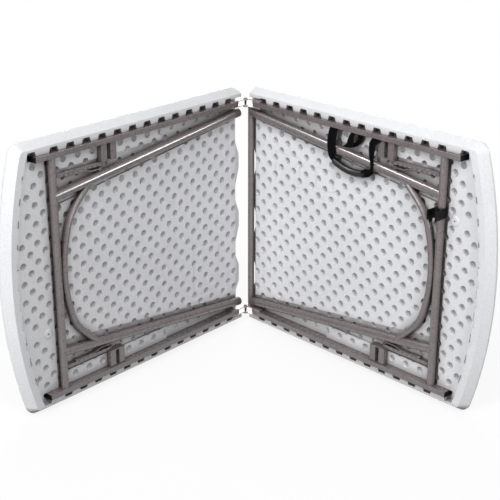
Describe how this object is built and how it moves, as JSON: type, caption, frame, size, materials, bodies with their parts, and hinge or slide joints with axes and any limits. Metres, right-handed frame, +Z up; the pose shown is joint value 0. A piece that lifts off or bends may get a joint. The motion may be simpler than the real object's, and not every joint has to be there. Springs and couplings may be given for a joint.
{
  "type": "folding table",
  "caption": "Folding banquet table whose moulded top folds in half, with a folding steel leg frame and stays under each half, standing half open on its long edges.",
  "frame": {"origin": "on the ground, under the middle of the half-open table standing on its long edges", "axes": "+X runs from the left half's outer end to the right half's; the open V faces -Y with the undersides and legs towards -Y; +Z is up, along the fold line"},
  "size_m": [1.2832, 0.6827, 0.762],
  "materials": {
    "tabletop": "fine grained moulded plastic",
    "steel": "satin brown-grey powder coat",
    "zinc": "plated, satin",
    "black_plastic": "matte",
    "brown_plastic": "satin moulded plug",
    "black_rubber": "matte",
    "webbing": "woven"
  },
  "bodies": {
    "half_a": {"panel_a": "tabletop", "rail_lower_a": "steel", "rail_upper_a": "steel", "rail_caps_a": "black_plastic", "rail_screws_a": "zinc", "hinge_lower_a": "zinc", "hinge_upper_a": "zinc", "hinge_rivets_a": "zinc", "stay_bracket_lower_a": "steel", "stay_bracket_upper_a": "steel", "hinge_pins": "zinc"},
    "half_b": {"panel_b": "tabletop", "rail_lower_b": "steel", "rail_upper_b": "steel", "rail_caps_b": "black_plastic", "rail_screws_b": "zinc", "hinge_lower_b": "zinc", "hinge_upper_b": "zinc", "hinge_rivets_b": "zinc", "stay_bracket_lower_b": "steel", "stay_bracket_upper_b": "steel", "middle_bar": "steel", "strap_anchors": "webbing", "strap_loop": "webbing"},
    "leg_frame_a": {"cross_bar_a": "steel", "leg_lower_a": "steel", "leg_upper_a": "steel", "leg_arch_a": "steel", "foot_caps_a": "brown_plastic", "stay_pins_a": "steel"},
    "leg_frame_b": {"cross_bar_b": "steel", "leg_lower_b": "steel", "leg_upper_b": "steel", "leg_arch_b": "steel", "foot_caps_b": "brown_plastic", "stay_pins_b": "steel"},
    "handle": {"handle_strap_left": "webbing", "handle_strap_right": "webbing", "handle_grip": "black_rubber"},
    "clip": {"bar_clip": "black_plastic"},
    "long_stay_lower_a_body": {"long_stay_lower_a": "steel"},
    "short_stay_lower_a_body": {"short_stay_lower_a": "steel"},
    "long_stay_upper_a_body": {"long_stay_upper_a": "steel"},
    "short_stay_upper_a_body": {"short_stay_upper_a": "steel"},
    "long_stay_lower_b_body": {"long_stay_lower_b": "steel"},
    "short_stay_lower_b_body": {"short_stay_lower_b": "steel"},
    "long_stay_upper_b_body": {"long_stay_upper_b": "steel"},
    "short_stay_upper_b_body": {"short_stay_upper_b": "steel"}
  },
  "joints": [
    {"name": "table_fold", "type": "hinge", "parent": "half_a", "child": "half_b", "pos_m": [0, 0.30479, 0.381], "axis": [0, 0, 1], "range_deg": [-85.14, 94.86]},
    {"name": "legs_a", "type": "hinge", "parent": "half_a", "child": "leg_frame_a", "pos_m": [-0.5055, -0.22482, 0.381], "axis": [0, 0, -1], "range_deg": [0, 90]},
    {"name": "legs_b", "type": "hinge", "parent": "half_b", "child": "leg_frame_b", "pos_m": [0.5055, -0.22482, 0.381], "axis": [0, 0, 1], "range_deg": [0, 90], "deforming": ["handle_strap_left", "handle_strap_right"]},
    {"name": "handle_swing", "type": "hinge", "parent": "half_b", "child": "handle", "pos_m": [0.29089, -0.01188, 0.7099], "axis": [-0.6765, 0.7365, 0], "range_deg": [0, 170]},
    {"name": "clip_turn", "type": "hinge", "parent": "half_b", "child": "clip", "pos_m": [0.5055, -0.22482, 0.557], "axis": [0, 0, 1], "range_deg": [0, 62]},
    {"name": "long_stay_turn_lower_a", "type": "hinge", "parent": "half_a", "child": "long_stay_lower_a_body", "pos_m": [-0.39258, -0.09228, 0.103], "axis": [0, 0, 1], "range_deg": [0, 46.51]},
    {"name": "short_stay_turn_lower_a", "type": "hinge", "parent": "leg_frame_a", "child": "short_stay_lower_a_body", "pos_m": [-0.39731, -0.09744, 0.103], "axis": [0, 0, -1], "range_deg": [0, 44.49]},
    {"name": "long_stay_turn_upper_a", "type": "hinge", "parent": "half_a", "child": "long_stay_upper_a_body", "pos_m": [-0.39258, -0.09228, 0.659], "axis": [0, 0, 1], "range_deg": [0, 46.51]},
    {"name": "short_stay_turn_upper_a", "type": "hinge", "parent": "leg_frame_a", "child": "short_stay_upper_a_body", "pos_m": [-0.39731, -0.09744, 0.659], "axis": [0, 0, -1], "range_deg": [0, 44.49]},
    {"name": "long_stay_turn_lower_b", "type": "hinge", "parent": "half_b", "child": "long_stay_lower_b_body", "pos_m": [0.39258, -0.09228, 0.103], "axis": [0, 0, -1], "range_deg": [0, 46.51]},
    {"name": "short_stay_turn_lower_b", "type": "hinge", "parent": "leg_frame_b", "child": "short_stay_lower_b_body", "pos_m": [0.39731, -0.09744, 0.103], "axis": [0, 0, 1], "range_deg": [0, 44.49]},
    {"name": "long_stay_turn_upper_b", "type": "hinge", "parent": "half_b", "child": "long_stay_upper_b_body", "pos_m": [0.39258, -0.09228, 0.659], "axis": [0, 0, -1], "range_deg": [0, 46.51]},
    {"name": "short_stay_turn_upper_b", "type": "hinge", "parent": "leg_frame_b", "child": "short_stay_upper_b_body", "pos_m": [0.39731, -0.09744, 0.659], "axis": [0, 0, 1], "range_deg": [0, 44.49]}
  ],
  "couplings": [
    {"joint": "long_stay_turn_lower_a", "follows": "legs_a", "ratio": 0.5112},
    {"joint": "short_stay_turn_lower_a", "follows": "legs_a", "ratio": 0.4888},
    {"joint": "long_stay_turn_upper_a", "follows": "legs_a", "ratio": 0.5112},
    {"joint": "short_stay_turn_upper_a", "follows": "legs_a", "ratio": 0.4888},
    {"joint": "long_stay_turn_lower_b", "follows": "legs_b", "ratio": 0.5112},
    {"joint": "short_stay_turn_lower_b", "follows": "legs_b", "ratio": 0.4888},
    {"joint": "long_stay_turn_upper_b", "follows": "legs_b", "ratio": 0.5112},
    {"joint": "short_stay_turn_upper_b", "follows": "legs_b", "ratio": 0.4888}
  ]
}
